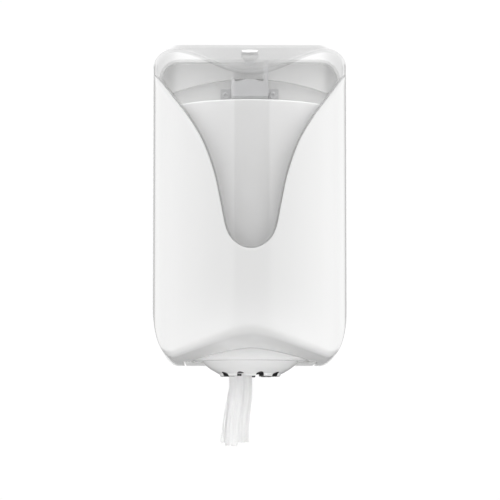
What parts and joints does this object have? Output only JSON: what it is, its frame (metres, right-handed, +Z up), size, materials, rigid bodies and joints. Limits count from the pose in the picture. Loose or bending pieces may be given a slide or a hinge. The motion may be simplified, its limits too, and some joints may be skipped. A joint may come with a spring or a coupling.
{
  "type": "centrefeed roll dispenser",
  "caption": "Wall-mounted centrefeed paper dispenser: white drop-down cover with a smoky window, cam lock, round nozzle with a lobed mouth, and a paper roll with its tail out.",
  "frame": {"origin": "centre of the housing's flat rear face, on the wall plane at mid-height of the body", "axes": "+X to the right seen from the front, +Y into the wall, +Z up; the front faces -Y"},
  "size_m": [0.18, 0.175, 0.3758],
  "materials": {
    "white_gloss": "polished white ABS",
    "smoky_clear": "polished translucent smoky grey",
    "white_satin": "fine satin white ABS",
    "black_matte": "matte black",
    "grey_plastic": "satin light grey",
    "bright_steel": "zinc-plated",
    "white_paper": "soft embossed tissue"
  },
  "bodies": {
    "root": {"back_housing": "white_satin", "roll_shelf": "white_satin", "shelf_screw_1": "bright_steel", "shelf_screw_2": "bright_steel", "shelf_screw_3": "bright_steel", "shelf_screw_4": "bright_steel", "lock_striker": "grey_plastic", "striker_screw_1": "grey_plastic", "striker_screw_2": "grey_plastic", "nozzle_collar": "white_gloss", "collar_screw_1": "bright_steel", "collar_screw_2": "bright_steel", "collar_screw_3": "bright_steel", "nozzle_cup": "white_gloss", "nozzle_liner": "black_matte", "hinge_pin_left": "bright_steel", "hinge_pin_right": "bright_steel", "paper_roll": "white_paper", "paper_tail": "white_paper"},
    "cover": {"front_cover": "white_gloss", "window": "smoky_clear", "lock_body": "white_satin", "lock_nut": "white_satin"},
    "lock": {"lock_core": "grey_plastic", "lock_cam": "bright_steel", "cam_screw": "bright_steel"}
  },
  "joints": [
    {"name": "cover_hinge", "type": "hinge", "parent": "root", "child": "cover", "pos_m": [0, -0.01, -0.1417], "axis": [1, 0, 0], "range_deg": [0, 90]},
    {"name": "lock_turn", "type": "hinge", "parent": "cover", "child": "lock", "pos_m": [0, -0.042, 0.13899], "axis": [0, 0.275, -0.9615], "range_deg": [0, 90]}
  ]
}
